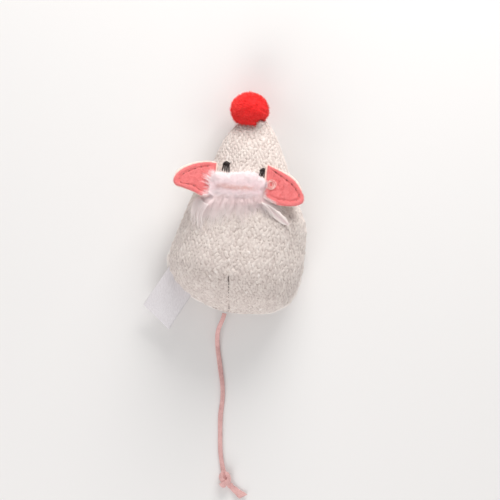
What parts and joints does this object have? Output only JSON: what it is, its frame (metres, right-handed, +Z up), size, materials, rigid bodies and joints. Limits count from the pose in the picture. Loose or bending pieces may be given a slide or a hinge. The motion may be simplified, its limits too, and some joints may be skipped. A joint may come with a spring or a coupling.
{
  "type": "catnip mouse",
  "caption": "Stuffed cat toy mouse with woven body, felt ears, feather ruff, pom-pom nose, side label and knotted lace tail.",
  "frame": {"origin": "on the floor under the middle of the back, in the flat of the belly that the toy rests on", "axes": "+Y along the body towards the nose, +Z up, +X to the mouse's own right side"},
  "size_m": [0.0591, 0.1574, 0.0328],
  "materials": {
    "weave": "coarse off-white basket weave of boucle yarn",
    "filling": "loose polyester fibre",
    "catnip": "dried chopped leaf",
    "thread": "sewing thread",
    "dark_thread": "shaded sewing thread",
    "eye_thread": "black satin stitch",
    "ear_felt": "coral felt",
    "ear_backing": "pale cream cloth",
    "down": "pale pink marabou down",
    "quill": "pale feather shaft",
    "pompom": "dense red fibre",
    "satin": "bare white satin ribbon",
    "lace": "dusty pink faux suede"
  },
  "bodies": {
    "stuffed_body": {"tail_anchor": "lace", "rump_dart_thread": "dark_thread", "back_panel": "weave", "belly_panel": "weave", "body_filling": "filling", "catnip_filling": "catnip", "side_seam_thread": "thread", "closing_stitch": "thread", "left_eye": "eye_thread", "right_eye": "eye_thread", "left_ear_base_stitch": "thread", "right_ear_base_stitch": "thread", "ruff_core_cord": "thread", "ruff_down": "down"},
    "left_ear": {"left_ear_front": "ear_felt", "left_ear_back": "ear_backing", "left_ear_edge_stitch": "dark_thread"},
    "right_ear": {"right_ear_front": "ear_felt", "right_ear_back": "ear_backing", "right_ear_edge_stitch": "dark_thread"},
    "feather_fan": {"ruff_wisps": "down", "ruff_plume": "down", "ruff_plume_quill": "quill"},
    "nose": {"nose_pompom": "pompom", "pompom_tie": "thread"},
    "label": {"side_label": "satin"},
    "tail": {"tail_cord": "lace", "tail_knot": "lace", "tail_tip": "lace"}
  },
  "joints": [
    {"name": "left_ear_fold", "type": "hinge", "parent": "stuffed_body", "child": "left_ear", "pos_m": [-0.01005, 0.01431, 0.02276], "axis": [0.0361, 0.8701, -0.4915], "range_deg": [-8, 75], "stiffness_Nm_per_rad": 0.0001},
    {"name": "right_ear_fold", "type": "hinge", "parent": "stuffed_body", "child": "right_ear", "pos_m": [0.00987, 0.01588, 0.02464], "axis": [0.0211, -0.8991, 0.4372], "range_deg": [-8, 75], "stiffness_Nm_per_rad": 0.0001},
    {"name": "ruff_lift", "type": "hinge", "parent": "stuffed_body", "child": "feather_fan", "pos_m": [0.00038, 0.00432, 0.02967], "axis": [-1, 0, 0], "range_deg": [0, 35]},
    {"name": "pompom_wobble", "type": "hinge", "parent": "stuffed_body", "child": "nose", "pos_m": [0.00259, 0.04103, 0.0085], "axis": [0, 0, 1], "range_deg": [-8, 8], "stiffness_Nm_per_rad": 0.0005},
    {"name": "label_fold", "type": "hinge", "parent": "stuffed_body", "child": "label", "pos_m": [-0.01825, -0.02674, 0.00989], "axis": [-0.7986, 0.6018, 0], "range_deg": [-18, 50], "stiffness_Nm_per_rad": 0.0001},
    {"name": "tail_swing", "type": "hinge", "parent": "stuffed_body", "child": "tail", "pos_m": [0.00072, -0.03624, 0.0085], "axis": [0, 0, 1], "range_deg": [-40, 40]}
  ]
}
